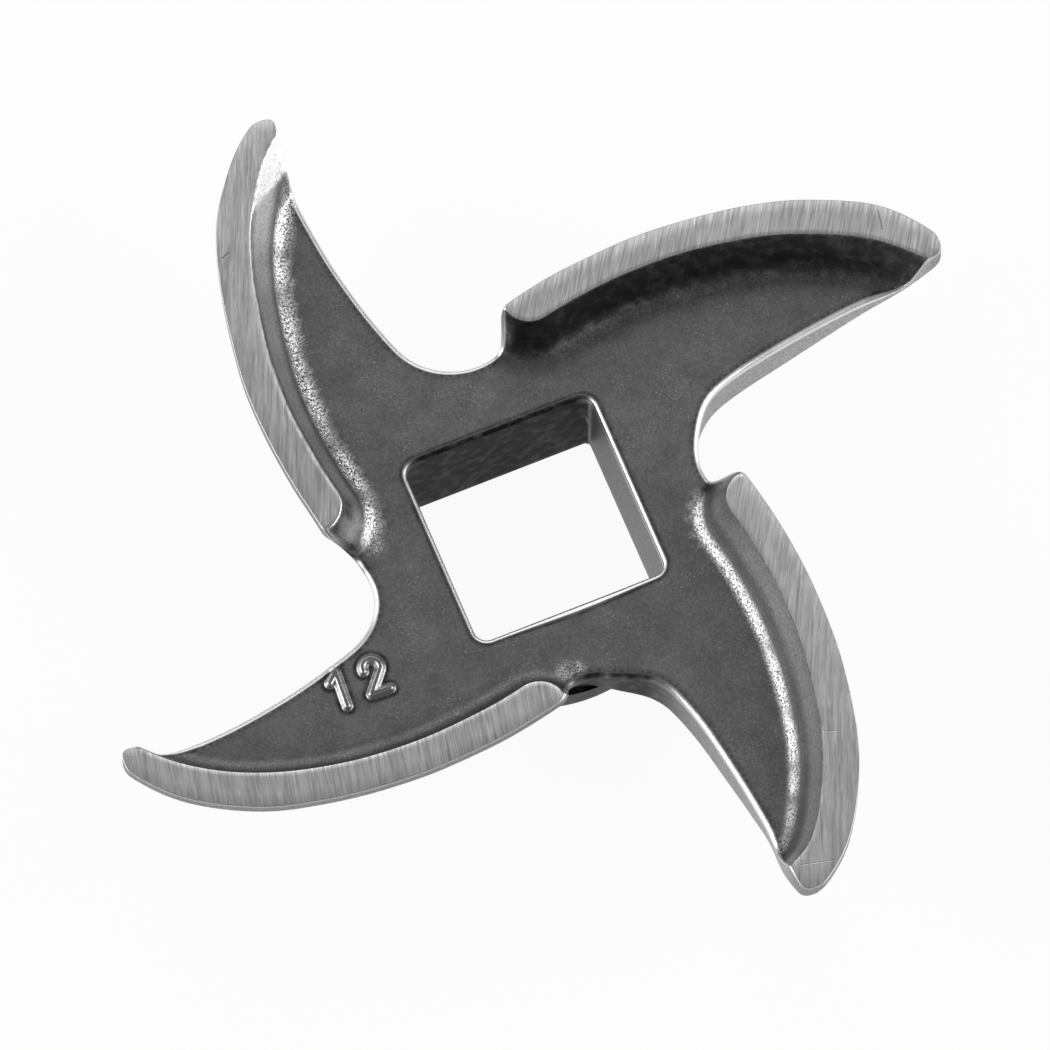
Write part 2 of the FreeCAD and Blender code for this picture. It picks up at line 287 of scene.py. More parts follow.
def outline(relief_share):
    """The plan outline of the knife, from the level of the lips down to the relief plane."""
    corner = complex(polar(NOTCH, NOTCH_RADIUS, NOTCH_END)) - RELIEF_ROOT * np.array([0, 1])
    relief = RELIEF * np.array([0, 1])
    leads, notches = [], []
    start = complex(polar(NOTCH, NOTCH_RADIUS, NOTCH_START))
    root_points, tip_points = LEAD_POINTS
    for c, r in zip(corner, relief):
        tip = Bow(LEAD, LEAD_SLOPE, TOE)
        bend = complex(polar(tip.centre, tip.radius - r, tip.touch))
        root = Bow(bend, LEAD_SLOPE, c * 1j)
        leads.append(np.concatenate([
            root.points(root.through, root.touch, root_points),
            tip.points(tip.touch, tip.crossing(OUTSIDE), tip_points, r)[1:]]))
        notch = Bow(start, NOTCH_START - 90, c)
        notches.append(notch.points(notch.touch, notch.through, NOTCH_POINTS))
    lead = leads[0] + (leads[1] - leads[0]) * relief_share
    notch = notches[0] + (notches[1] - notches[0]) * relief_share
    edge = Bow(start, NOTCH_START - 90, HEEL)
    meets = edge.crossing(RIM - TIP_ROUND, -TIP_ROUND)
    tip_centre = complex(polar(edge.centre, edge.radius + TIP_ROUND, meets))
    rim = polar(0, RIM, np.linspace(RIM_FIRST, heading(tip_centre), RIM_POINTS))
    end = polar(tip_centre, TIP_ROUND, np.linspace(heading(tip_centre), meets - 180, ROUND_POINTS))
    trailing = edge.points(meets, edge.touch, TRAILING_POINTS)
    far_side = np.concatenate([rim, end[1:], trailing[1:]])
    lead, met = up_to(lead, far_side)
    far_side[:int(met) + 1] = lead[-1]
    arm = np.concatenate([evenly(lead, LEAD_COLUMNS), far_side[1:], notch[1:-1]])
    return np.concatenate([turn(arm, k) for k in range(ARMS)])


def land_borders():
    """The closed line round the web: the four land borders and the turns in the bays."""
    long_bow = Bow(BORDER, BORDER_SLOPE, BORDER_ROOT)
    tip_bow = Bow(BORDER, BORDER_SLOPE, BORDER_TIP)
    end_bow = Bow(BORDER_ROOT, long_bow.through - 90, BORDER_END)
    side = end_bow.centre.real - end_bow.radius
    height = BAY_TURN - side - tip_bow.centre.imag
    run = math.sqrt((tip_bow.radius - BAY_TURN) ** 2 - height ** 2)
    turn_centre = tip_bow.centre + complex(run, height)
    leaves = heading(turn_centre - tip_bow.centre)
    start = complex(side, turn_centre.real)
    counts = BORDER_POINTS
    border = np.concatenate([
        np.linspace(start, end_bow.centre - end_bow.radius, counts[0])[:-1],
        end_bow.points(180, end_bow.touch, counts[1])[:-1],
        long_bow.points(long_bow.through, long_bow.touch, counts[2])[:-1],
        tip_bow.points(tip_bow.touch, leaves, counts[3])[:-1],
        polar(turn_centre, BAY_TURN, np.linspace(leaves, -90, counts[4]))[:-1]])
    count = int(np.abs(np.diff(np.append(border, border[0] * -1j))).sum() / BORDER_STEP)
    border = evenly(np.append(border, start * -1j), count)[:-1]
    return np.concatenate([turn(border, k) for k in range(ARMS)])


borders = as_cast(land_borders())
borders = borders + TIP_BEND[1] * bump_at(np.abs(borders - TIP_BEND[0]), 0, TIP_BEND[2])
border_along = np.roll(borders, -1) - np.roll(borders, 1)
border_webward = border_along / np.abs(border_along) * -1j


def inside(points, loop):
    """True for each point that lies within the closed loop."""
    found = np.zeros(len(points), bool)
    for a, b in zip(loop, np.roll(loop, -1)):
        spans = (a.imag > points.imag) != (b.imag > points.imag)
        slope = (b.real - a.real) / (b.imag - a.imag if b.imag != a.imag else 1)
        found ^= spans & (points.real < a.real + (points.imag - a.imag) * slope)
    return found


def nearest(points, line):
    """For each point the index of the nearest point of a line, and the distance to it."""
    index = np.empty(len(points), int)
    for first in range(0, len(points), 2000):
        gap = np.abs(points[first:first + 2000, None] - line[None, :])
        index[first:first + 2000] = gap.argmin(1)
    return index, np.abs(points - line[index])


def past_border(points):
    """Distance from the land border, positive on the web."""
    index, gap = nearest(points, borders)
    across = ((points - borders[index]) * np.conj(border_webward[index])).real
    return np.where(gap < 3, across, np.sign(across) * gap)


def number_strokes():
    """Centre lines of the raised figures 1 and 2 of the size number, on the third arm."""
    bowl = polar(-12.9 - 5.17j, 0.55, np.linspace(185, -35, 24))
    strokes = [[-15.62 - 5.16j, -15.04 - 4.62j, -15.18 - 6.9j],
               [*bowl, -13.52 - 6.77j, -12.33 - 6.83j]]
    lines = []
    for stroke in strokes:
        stroke = np.array(stroke)
        count = int(np.abs(np.diff(stroke)).sum() / STROKE_STEP)
        lines.append(np.concatenate([evenly(stroke, count), stroke]))
    return np.concatenate(lines)


strokes = number_strokes()


def number_height(points):
    """How far the figures stand up from the web."""
    gap = nearest(points, strokes)[1]
    share = fall(gap, NUMBER_HALF, NUMBER_SIDE)
    return NUMBER_HEIGHT * (0.5 * share + 0.5 * share ** 2 * (3 - 2 * share))


def lower_of(a, b, ease):
    """The lower of two heights, with the crease between them eased."""
    share = np.clip(0.5 + 0.5 * (b - a) / ease, 0, 1)
    return b + (a - b) * share - ease * share * (1 - share)


def quarters(points):
    """Quarter turns, clockwise, from the middle of the notch at the root of the first arm."""
    return (ARM_SPLIT - np.degrees(np.angle(points))) / 90


def arm_of(points):
    return np.floor(quarters(points)).astype(int) % ARMS


def along_arm(points):
    """Place within the quarter of each arm: zero in the notch at its root, one in the next."""
    return quarters(points) % 1


# The flanks of the second and fourth arm spread further out, except at the root.
SPREAD = 0.45
FLANK_SPREAD = np.array([0.0, SPREAD, 0.0, SPREAD])
SPREAD_FADE = 0.5
ROOT_END = 0.06
FLANK_END = 3.2
# The fourth arm has a flat facet at its tip: how wide it is at each distance from its place.
FACET_PLACE = turn(28.0 + 6.2j, 3)
FACET_WIDTHS = ((0.0, 1.2, 2.3, 3.3, 4.9), (2.4, 1.6, 1.15, 0.7, 0.0))
FACET_SLOPE = 1.12
# The same plane cuts the flank of the second arm, where it lies a little higher.
FACET_LIFT = 0.3
# Easing of the creases beside the facet, at the foot of the flank and along the land
FACET_EASE = 0.1
FOOT_EASE = 1.5
LAND_EASE = 0.06
# Unevenness of the web: its height, its length, and where it begins past the border
SWELL = 0.022
SWELL_LENGTH = 2.7
SWELL_FROM = 0.3
SWELL_FADE = 1.2


def spread_at(points):
    """How much further than on the other arms the flank reaches, fading out at the notch."""
    return FLANK_SPREAD[arm_of(points)] * rise(along_arm(points), 0, ROOT_END)


def unspread(points, past):
    """Distance from the land border, as it would be on an arm whose flank isn't spread."""
    return past - spread_at(points) * rise(past, 0, SPREAD_FADE)


def facet_width(points):
    return np.interp(np.abs(points - FACET_PLACE), *FACET_WIDTHS)


def top_height(points, past=None):
    """Height of the lands, their flanks with the rounded foot, and the web."""
    past = past_border(points) if past is None else past
    slope = LAND - past / DRAFT
    foot = WEB + FOOT_RADIUS - np.sqrt(np.maximum(FOOT_RADIUS ** 2 - (past - FOOT_END) ** 2, 0))
    height = np.where(past < FOOT_START, slope, np.where(past < FOOT_END, foot, WEB))
    spread, width = spread_at(points), facet_width(points)
    below = LAND - FACET_SLOPE * width - WEB
    end = np.maximum((LAND - WEB) * DRAFT + spread, width + below * DRAFT)
    facet = LAND - FACET_SLOPE * past + FACET_LIFT * (arm_of(points) == 1)
    flank = lower_of(facet, WEB + below * (end - past) / (end - width), FACET_EASE)
    flank = -lower_of(-flank, np.full(len(points), -WEB), FOOT_EASE)
    height = height + (flank - height) * np.clip(spread / SPREAD + width, 0, 1)
    spots = points / SWELL_LENGTH
    swell = np.array([noise.noise((p.real, p.imag, 3.0)) for p in spots])
    height = height + SWELL * swell * rise(past, SWELL_FROM, SWELL_FADE)
    return lower_of(height, np.full(len(points), LAND), LAND_EASE)


def under_height(points):
    """Height of the underside: flat round the hub, then rising to the tips."""
    run = np.maximum(np.abs(points) - UNDERSIDE_FLAT, 0)
    return UNDERSIDE + UNDERSIDE_BOW - np.sqrt(UNDERSIDE_BOW ** 2 - run ** 2)


def within_box(values):
    """Values held inside the box of the CAD part, with the corners this makes eased."""
    past_limit = BOX_LIMIT - BOX_EASE * np.logaddexp(0, (BOX_LIMIT - np.abs(values)) / BOX_EASE)
    return np.sign(values) * past_limit


outlines = as_cast(np.array([smooth_loop(outline(f), 2) for f in np.linspace(0, 1, LEVELS)]))
outlines = within_box(outlines.real) + 1j * within_box(outlines.imag)
COLUMNS = outlines.shape[1]
each = np.arange(COLUMNS)


def wall(columns, height):
    """Where the side walls stand at a height."""
    share = fall(height, LIP, LIP - RELIEF_PLANE) * (LEVELS - 1)
    level = np.minimum(share.astype(int), LEVELS - 2)
    part = share - level
    return outlines[level, columns] * (1 - part) + outlines[level + 1, columns] * part


def wall_tops():
    """Height at which each column of the side walls comes out of the top surface."""
    tops = np.full(COLUMNS, WEB)
    past_high = past_border(outlines[0])
    past_low = past_border(wall(each, np.full(COLUMNS, WEB)))
    tops[past_high < 0] = LAND
    open_ = each[(past_high >= 0) & (past_low < FLANK_END)]
    for height in np.arange(LAND, WEB, -0.02):
        if not len(open_):
            break
        hit = top_height(wall(open_, np.full(len(open_), height))) >= height
        tops[open_[hit]] = height
        open_ = open_[~hit]
    return tops


def wall_feet(tops):
    """Height at which each column meets the underside."""
    low, high = np.full(COLUMNS, RELIEF_PLANE), tops.copy()
    for _ in range(30):
        middle = (low + high) / 2
        above = middle > under_height(wall(each, middle))
        high = np.where(above, middle, high)
        low = np.where(above, low, middle)
    return high


class Skin:
    """Vertices, faces and the finish of each, collected part by part."""

    def __init__(self):
        self.points, self.heights, self.faces, self.ground = [], [], [], []
        # Finish of each vertex: polished rim, bright metal with painted highlights, and painted
        # shade with dark lines
        self.finish = {name: [] for name in ("rim", "bare_and_highlight", "soot")}
        self.total = 0

    def add(self, plan, heights, rim=0.0, bare_and_highlight=0.0, soot=0.0):
        first = self.total
        self.points.append(np.asarray(plan, complex))
        self.heights.append(np.broadcast_to(np.asarray(heights, float), (len(plan),)))
        for name, value in (("rim", rim), ("bare_and_highlight", bare_and_highlight), ("soot", soot)):
            self.finish[name].append(np.broadcast_to(np.asarray(value, float), (len(plan),)))
        self.total += len(plan)
        return np.arange(first, self.total)

    def set_finish(self, index, finish):
        """Give the last row added the finish of the surface that it is welded to."""
        for name, value in zip(("rim", "bare_and_highlight", "soot"), (0.0, *finish)):
            self.finish[name][-1] = np.broadcast_to(np.asarray(value, float), (len(index),))

    def band(self, upper, lower):
        """Quads between two closed rows of vertices."""
        count = len(upper)
        for i in range(count):
            j = (i + 1) % count
            self.faces.append((upper[i], upper[j], lower[j], lower[i]))
            self.ground.append(False)

    def follow(self, row, *place_and_finish):
        """Add a closed row of vertices and the quads down to it from another row."""
        following = self.add(*place_and_finish)
        self.band(row, following)
        return following

    def fill(self, index, triangles, ground=None):
        """Triangles between vertices, some of them on the ground lands."""
        self.faces += [tuple(index[list(t)]) for t in triangles]
        self.ground += [False] * len(triangles) if ground is None else list(ground)


def filled(outer, hole, free, lines=()):
    """Triangles between a loop of plan points and a hole in it, through free points."""
    verts = np.concatenate([outer, hole, free])
    edges, first = [], 0
    for loop in (outer, hole):
        count = len(loop)
        edges += [(first + i, first + (i + 1) % count) for i in range(count)]
        first += count
    edges += list(lines)
    made = delaunay_2d_cdt([Vector((p.real, p.imag)) for p in verts], edges, [], 1, 1e-6)
    plan = np.array([complex(v[0], v[1]) for v in made[0]])
    triangles = np.array([t for t in made[2] if len(t) == 3])
    middles = plan[triangles].mean(1)
    return plan, triangles[inside(middles, outer) & ~inside(middles, hole)]


def square_hole(half, corner):
    """The outline of the square hole, with rounded corners."""
    centre = complex(half - corner, half - corner)
    turned = polar(centre, corner, np.linspace(90, 0, ROUND_POINTS))
    side = np.linspace(turned[-1], turned[0] * -1j, HOLE_POINTS)[1:-1]
    quarter = np.concatenate([turned, side])
    return np.concatenate([quarter * (-1j) ** k for k in range(4)])


def worn_hole(out, corner):
    """The outline of the hole on its rounded edge, which is worn wider on the near side."""
    plan = square_hole(HOLE_HALF + out, corner + out)
    place, reach, depth = NEAR_WEAR
    near = np.clip(-plan.imag - HOLE_HALF + 1, 0, 1) * bump_at(plan.real, place, reach)
    return plan - 1j * depth * near * out / HOLE_EDGE


def hexagonal(step, low=-CORNER, high=CORNER):
    """Points of a triangular grid over a rectangle."""
    rows = np.arange(low.imag, high.imag, step * math.sqrt(0.75))
    grid = [x + step / 2 * (i % 2) + 1j * y
            for i, y in enumerate(rows) for x in np.arange(low.real, high.real, step)]
    return np.array(grid)


def clear_of(points, line, gap):
    return nearest(points, line)[1] > gap


def within(points, loop, gap):
    """The points that lie inside a loop and clear of it."""
    return points[inside(points, loop) & clear_of(points, loop, gap)]


# Finish of each arm, first to fourth: bright metal of the flank, a painted highlight that is
# strongest on the fourth and second arm, whose flanks face the side lamps, and where it ends past
# the border;
# painted shade on the flank, strongest on the first arm, whose flank faces the front where no lamp
# stands, and in its upper crease; painted glints on the blasted foot, strongest on the fourth and
# second arm, and where they end; brightness of the burr along the land, with a painted highlight on
# the fourth and second arm; and brightness of the land.
FLANK_LIGHT = np.array([0.0, 0.55, 0.1, 0.85])
FLANK_LIGHT_TO = np.array([0.7, 0.5, 0.7, 0.77])
FLANK_SHADE = np.array([0.8, 0.0, 0.35, 0.0])
CREASE_SHADE_SHARE = np.array([1.0, 0.3, 1.0, 1.0])
FOOT_GLINT = np.array([0.1, 0.62, 0.08, 1.0])
FOOT_TO = np.array([2.0, 1.75, 2.0, 1.95])
BURR_AND_HIGHLIGHT_SHARE = np.array([0.25, 0.6, 0.2, 0.8])
LAND_SHINE = np.array([1.0, 1.2, 1.15, 1.02])
# Spots of painted shade, on the hollow and along the notch edge at the root of the fourth arm and
# at the root of the second; spots of bright metal and a painted highlight on the crest at the root
# of the fourth arm; spots of painted glints on the foot and spots where the foot has none; and
# painted
# shade in the lower notch: place, reach and share
SHADE_SPOTS = ((-10.5 + 4.4j, 0.3, 0.9), (-10.75 + 3.85j, 0.35, 0.9), (-11.86 + 3.22j, 0.45, 0.85),
              (-11.39 + 1.97j, 0.5, 0.85), (-10.75 + 1.0j, 0.45, 0.8), (10.5 - 2.2j, 0.5, 0.8))
BARE_AND_HIGHLIGHT_SPOTS = ((2.85 + 11.15j, 0.35, 0.6), (-10.05 + 4.2j, 0.2, 0.9), (-10.3 + 3.5j, 0.25, 0.8))
GLINT_SPOTS = ((-9.36 + 3.38j, 0.4, 0.9), (-9.73 + 2.14j, 0.5, 1.0), (-9.55 + 2.75j, 0.4, 0.9),
                 (-2.0 - 9.9j, 0.5, 0.8), (-1.3 - 10.0j, 0.35, 0.8))
NO_GLINT_SPOTS = ((7.6 - 22.9j, 0.6, 0.85), (6.5 - 24.7j, 1.2, 0.5))
NOTCH_SHADE = ((-0.7 - 10.7j, 1.9, 1.0), (1.7 - 11.3j, 2.8, 1.0))


def spots_at(plan, spots):
    """The strongest of a list of round spots at each point."""
    total = np.zeros(len(plan))
    for place, reach, share in spots:
        total = np.maximum(total, share * bump_at(np.abs(plan - place), 0, reach))
    return total


# A dark line at a distance from a line: painted shade round the figures and in the crease, and the
# dark lines along the edges
def dark_line(distance, line, weight=1.0):
    place, width, share = line
    return share * (bump_at(distance, place, width) * weight)


def top_finish(plan, past, edge_loop, hole_loop):
    """Bright metal, painted highlights, painted shade and dark lines on the web and the flanks."""
    arm = arm_of(plan)
    edge = np.minimum(nearest(plan, edge_loop)[1], nearest(plan, hole_loop)[1])
    figure = nearest(plan, strokes)[1]
    # Dark lines along the edges, and painted shade round the figures and in the crease past the
    # border
    soot = np.clip(dark_line(edge, EDGE_LINE, rise(past, 0.1, 0.3))
                   + dark_line(figure, FIGURE_SHADE)
                   + dark_line(past, CREASE_SHADE, CREASE_SHADE_SHARE[arm]), 0, 1)
    # Painted shade on the flank, strongest on the first arm, whose flank faces the front
    flank = FLANK_SHADE[arm] * fall(past, 2.6, 1.5) * (past > 0)
    # Painted shade at spots by the roots of the fourth and second arm
    soot = np.maximum(np.maximum(soot, flank), spots_at(plan, SHADE_SPOTS))
    sides = fall(figure, NUMBER_HALF, 0.04) * rise(figure - NUMBER_HALF + NUMBER_SIDE, -0.02, 0.06)
    facet = np.clip((facet_width(plan) - past) / 0.12 + 0.5, 0, 1) * (past > 0)
    # Painted highlight on the flanks of the fourth and second arm, which face the side lamps, and
    # the bright flat facet
    bare_and_highlight = FLANK_LIGHT[arm] * fall(unspread(plan, past), FLANK_LIGHT_TO[arm], 0.35) * (past > 0)
    bare_and_highlight = np.maximum(bare_and_highlight, FACET_BARE * facet)
    # Spots of bright metal with a painted highlight on a crest, and the sides of the figures
    bare_and_highlight = np.maximum(np.maximum(bare_and_highlight, spots_at(plan, BARE_AND_HIGHLIGHT_SPOTS)), sides)
    return bare_and_highlight, soot * (1 - facet)


def flank_rows(edge_loop):
    """Rows of points along the land borders, as far as they lie inside the rounded edge."""
    rows = []
    for past, step in FLANK_ROWS:
        row = (borders + border_webward * past)[::step]
        row = row[np.abs(past_border(row) - past) < ROW_ERROR]
        rows.append(within(row, edge_loop, ROW_GAP))
    return rows


def rim_rows(edge_loop, inward):
    """Rows of points just inside the rounded edge and just outside the hole."""
    rows = []
    for inset in RIM_ROWS:
        row = within((edge_loop + inward * inset)[::2], edge_loop, 0.8 * inset)
        rows.append(row[(past_border(row) > 0.6) & clear_of(row, strokes, NUMBER_HALF + 0.1)])
        rows.append(worn_hole(HOLE_EDGE + inset, HOLE_CORNER))
    return rows


def web_grid(edge_loop, hole_top):
    """A grid of points on the lands and the web, clear of all rows and figures."""
    grid = within(hexagonal(GRID), edge_loop, GRID_GAP)
    grid = grid[~inside(grid, hole_top) & clear_of(grid, hole_top, GRID_GAP)]
    past = past_border(grid)
    grid = grid[(past < -GRID_GAP) | (past > ROWS_END)]
    return grid[clear_of(grid, strokes, NUMBER_HALF + GRID_GAP)]


def figure_grids(edge_loop):
    """A fine grid of points on the figures, and a coarser one round them."""
    figures = hexagonal(NUMBER_GRID, *NUMBER_WINDOW)
    figures = figures[clear_of(figures, edge_loop, NUMBER_GAP)]
    figures = figures[nearest(figures, strokes)[1] < NUMBER_HALF + 0.08]
    ring = hexagonal(2 * NUMBER_GRID, *RING_WINDOW)
    gap = nearest(ring, strokes)[1]
    ring = ring[(gap > NUMBER_HALF + 0.12) & (gap < NUMBER_HALF + 0.45)]
    return figures, within(ring, edge_loop, NUMBER_GAP)


def add_top(skin, edge_loop, hole_top, inward):
    """The lands, their flanks and the web, inside the rounded edge."""
    crest = borders[::2]
    crest = crest[inside(crest, edge_loop)]
    free = np.concatenate([crest, *flank_rows(edge_loop), *rim_rows(edge_loop, inward),
                           web_grid(edge_loop, hole_top), *figure_grids(edge_loop)])
    first = len(edge_loop) + len(hole_top)
    lines = [(first + i, first + i + 1) for i in range(len(crest) - 1)
             if abs(crest[i + 1] - crest[i]) < 3 * BORDER_STEP]
    plan, triangles = filled(edge_loop, hole_top, free, lines)
    past = past_border(plan)
    bare_and_highlight, soot = top_finish(plan, past, edge_loop, hole_top)
    index = skin.add(plan, top_height(plan, past) + number_height(plan), 0.0, bare_and_highlight, soot)
    skin.fill(index, triangles, past_border(plan[triangles].mean(1)) < 0)


around = polar(0, 1, np.linspace(360, 0, BOSS_POINTS, endpoint=False))


def add_underside(skin, row, under_loop):
    """The underside of the arms, from the last row of the walls to the foot of the boss."""
    clash = np.abs(under_loop) < BOSS_FOOT_RADIUS + 0.05
    under_loop[clash] *= (BOSS_FOOT_RADIUS + 0.05) / np.abs(under_loop[clash])
    boss_loop = around * BOSS_FOOT_RADIUS
    grid = hexagonal(UNDER_GRID)
    grid = within(grid[np.abs(grid) > BOSS_FOOT_RADIUS + 0.3], under_loop, UNDER_GRID / 2)
    plan, triangles = filled(under_loop, boss_loop, grid)
    # Painted shade on the underside in the lower notch
    skin.fill(skin.add(plan, under_height(plan), soot=spots_at(plan, NOTCH_SHADE)), triangles)
    skin.follow(row, under_loop, under_height(under_loop), 0.0, 0.0,
                spots_at(under_loop, NOTCH_SHADE))


def add_boss(skin):
    """The boss, from its rounded foot to the plain back face."""
    row = skin.add(around * BOSS_FOOT_RADIUS, UNDERSIDE)
    profile = []
    for out, drop in map(rounding, (30, 60, 84)):
        profile.append((BOSS_ARM_RADIUS + BOSS_FOOT * out, UNDERSIDE - BOSS_FOOT * drop, 0))
    taper = (BOSS_ARM_RADIUS - BOSS_BACK_RADIUS) / UNDERSIDE
    profile += [(BOSS_BACK_RADIUS + taper * z, z, 0)
                for z in np.linspace(UNDERSIDE - BOSS_FOOT, BOSS_EDGE, 8)]
    for inset, rest in map(rounding, (65, 45, 25)):
        profile.append((BOSS_BACK_RADIUS - BOSS_EDGE * inset, BOSS_EDGE * rest, 1))
    # Painted shade on the boss in the lower notch
    for radius, height, rim in profile:
        row = skin.follow(row, around * radius, height, rim, BOSS_BARE,
                          spots_at(around * radius, NOTCH_SHADE))
    back_loop = around * (BOSS_BACK_RADIUS - BOSS_EDGE)
    hole_back = square_hole(HOLE_HALF + HOLE_EDGE, HOLE_BACK_CORNER + HOLE_EDGE)
    grid = hexagonal(BACK_GRID)
    grid = grid[(np.abs(grid) < BOSS_BACK_RADIUS - BOSS_EDGE - 0.25) & ~inside(grid, hole_back)]
    grid = grid[clear_of(grid, hole_back, BACK_GRID / 2)]
    plan, triangles = filled(back_loop, hole_back, grid)
    skin.fill(skin.add(plan, 0.0, 0.0, BACK_BARE), triangles)
    skin.follow(row, back_loop, 0.0, 0.0, BACK_BARE)


def hole_side(plan):
    """The side of the hole: 0 far, 1 left, 2 near, 3 right."""
    across = np.where(np.abs(plan.imag) >= np.abs(plan.real), 0, 1)
    return across + 2 * (plan.imag - plan.real < 0)


def add_drive_hole(skin, edge_loop, hole_top):
    """The square hole, whose corners are sharper at the back."""
    rows = []
    crown = top_height(hole_top)
    for out, drop in map(rounding, np.linspace(0, 90, 7)):
        rows.append((worn_hole(HOLE_EDGE * out, HOLE_CORNER), crown - HOLE_EDGE * drop, 1.0))
    for height in np.linspace(WEB - HOLE_EDGE, HOLE_EDGE, 12)[1:]:
        corner = np.interp(height, [HOLE_EDGE, HOLE_CORNER_HEIGHT],
                           [HOLE_BACK_CORNER, HOLE_CORNER])
        rows.append((square_hole(HOLE_HALF, corner), height, 0.0))
    for out, rest in map(rounding, (60, 30, 0)):
        loop = square_hole(HOLE_HALF + HOLE_EDGE * out, HOLE_BACK_CORNER + HOLE_EDGE * out)
        rows.append((loop, HOLE_EDGE * rest, 1.0))
    row = None
    for plan, height, rim in rows:
        # Each side of the hole: painted light on the right wall, painted shade on the far wall, and
        # polish of the rim
        bare_and_highlight, soot, polish = np.array(HOLE_SHADE_AND_FINISH)[hole_side(plan)].T
        polish = smooth_loop(polish, 20)
        finish = rim * polish, bare_and_highlight, soot * (1 - rim * polish)
        if row is None:
            row = skin.add(plan, height, *finish)
            skin.set_finish(row, top_finish(plan, past_border(plan), edge_loop, hole_top))
        else:
            row = skin.follow(row, plan, height, *finish)
    skin.set_finish(row, (BACK_BARE, 0.0))


def knife_skin():
    """The whole surface, part by part, with the rounded edge and the side walls."""
    skin = Skin()
    tops = wall_tops()
    feet = wall_feet(tops)
    top_plan = wall(each, tops)
    along = np.roll(top_plan, -1) - np.roll(top_plan, 1)
    inward = smooth_loop(along / np.abs(along) * -1j, 1)
    inward /= np.abs(inward)
    on_land = tops > LAND - 0.01
    round_off = smooth_loop(np.where(on_land, LAND_ROUND, WEB_ROUND), 6)
    round_off = np.minimum(round_off, ROUND_SHARE * (tops - feet))
    tip_edge = TIP_EDGE + TIP_EDGE_GROWTH * (TIP_EDGE_FROM - np.abs(top_plan))
    round_off = np.minimum(round_off, np.clip(tip_edge, TIP_EDGE, 1))
    round_under = np.minimum(UNDER_ROUND, UNDER_SHARE * (tops - feet))
    # Painted shade on the walls in the lower notch and by the roots of the fourth and second arm,
    # which also dims the polished rim and the bright metal there
    wall_shade = spots_at(top_plan, NOTCH_SHADE + SHADE_SPOTS)
    edge_rim = smooth_loop(np.where(on_land, LAND_RIM, WEB_RIM), 6) * (1 - wall_shade)
    wall_bare = smooth_loop(np.where(on_land, LIP_BARE, WALL_BARE), 6) * (1 - wall_shade)

    edge_loop = top_plan + inward * round_off
    hole_top = worn_hole(HOLE_EDGE, HOLE_CORNER)
    add_top(skin, edge_loop, hole_top, inward)

    edge_height = top_height(edge_loop) + number_height(edge_loop)
    row = skin.add(edge_loop, edge_height)
    skin.set_finish(row, top_finish(edge_loop, past_border(edge_loop), edge_loop, hole_top))
    for inset, drop in map(rounding, np.linspace(0, 90, 6)[1:]):
        height = edge_height - round_off * drop
        plan = wall(each, height) + inward * (round_off * inset)
        row = skin.follow(row, plan, height, edge_rim, wall_bare, wall_shade)
    upper = edge_height - round_off
    lower = feet + round_under
    lip = np.minimum(LIP, upper - 0.1 * (upper - lower))
    for start, end, count in ((upper, lip, 3), (lip, lower, 8)):
        for share in np.linspace(0, 1, count + 1)[1:]:
            height = start + (end - start) * share
            row = skin.follow(row, wall(each, height), height, 0.0, wall_bare, wall_shade)
    for angle in (30, 60, 90):
        height = lower - round_under * math.sin(math.radians(angle))
        plan = wall(each, height) + inward * (round_under * rounding(angle)[1])
        row = skin.follow(row, plan, height, UNDER_RIM * (1 - wall_shade), wall_bare, wall_shade)
    # The foot of the walls carries the painted shade of the lower notch
    skin.set_finish(row, (0.0, spots_at(wall(each, feet), NOTCH_SHADE)))

    add_underside(skin, row, wall(each, feet) + inward * round_under)
    add_boss(skin)
    add_drive_hole(skin, edge_loop, hole_top)
    return skin


# Lean of the grinding lines on the first and third arm, and on the second, where they bend
LEAN = 0.176
BEND_LEAN = 0.15
BEND_SPAN = (-15, 5)
BEND_LENGTH = 30


def grinding(points):
    """Distance across and along the lines that the grinder left, which bend on the second arm."""
    x = points.real * math.cos(ROLL) - points.imag * math.sin(ROLL)
    y = points.real * math.sin(ROLL) + points.imag * math.cos(ROLL)
    bend = np.clip(y, *BEND_SPAN)
    lean = [LEAN * y, BEND_LEAN * (bend + bend ** 2 / BEND_LENGTH), -LEAN * y, 0 * y]
    return x - np.choose(arm_of(points), lean), y


